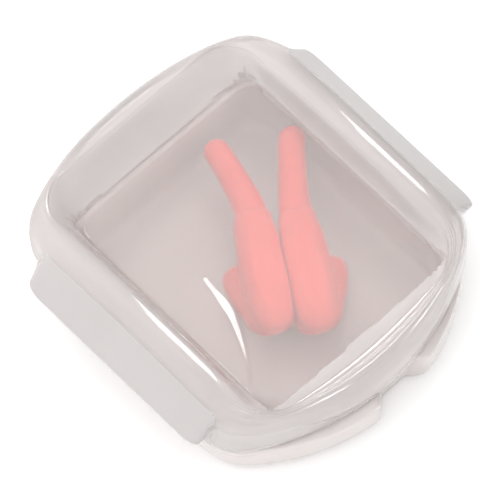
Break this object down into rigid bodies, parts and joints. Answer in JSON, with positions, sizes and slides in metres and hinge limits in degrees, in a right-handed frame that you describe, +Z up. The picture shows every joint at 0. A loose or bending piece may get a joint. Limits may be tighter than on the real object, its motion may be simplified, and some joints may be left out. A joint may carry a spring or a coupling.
{
  "type": "ear plugs in a hinged case",
  "caption": "Soft coral ear plugs with slim gripping stems, lying in a frosted travel case whose side-winged lid folds back on a living hinge.",
  "frame": {"origin": "middle of the overall footprint, on the surface that the case lies on", "axes": "+X to the front of the case, where the finger notch is; +Y across it, towards the right wing; +Z up out of the lid"},
  "size_m": [0.0437, 0.0418, 0.0132],
  "materials": {
    "frosted_base": "frosted translucent polypropylene, satin",
    "frosted_lid": "frosted translucent polypropylene, glossy outside",
    "frosted_web": "thin flexed polypropylene film",
    "coral_foam": "soft fine-celled foam with a matt skin",
    "coral_stem": "soft matt stem"
  },
  "bodies": {
    "base": {"case_base": "frosted_base", "hinge_web": "frosted_web"},
    "lid": {"case_lid": "frosted_lid", "lid_wing_left": "frosted_lid", "lid_wing_right": "frosted_lid"},
    "plug_left": {"plug_left_pod": "coral_foam", "plug_left_stem": "coral_stem"},
    "plug_right": {"plug_right_pod": "coral_foam", "plug_right_stem": "coral_stem"}
  },
  "joints": [
    {"name": "lid_hinge", "type": "hinge", "parent": "base", "child": "lid", "pos_m": [-0.0219, 0, 0.005], "axis": [0, -1, 0], "range_deg": [0, 140]},
    {"name": "plug_left_shift", "type": "slide", "parent": "base", "child": "plug_left", "axis": [0.8434, -0.5373, 0], "range_m": [-0.0003, 0.0025]},
    {"name": "plug_right_shift", "type": "slide", "parent": "base", "child": "plug_right", "axis": [0.8434, -0.5373, 0], "range_m": [-0.0003, 0.0025]}
  ]
}
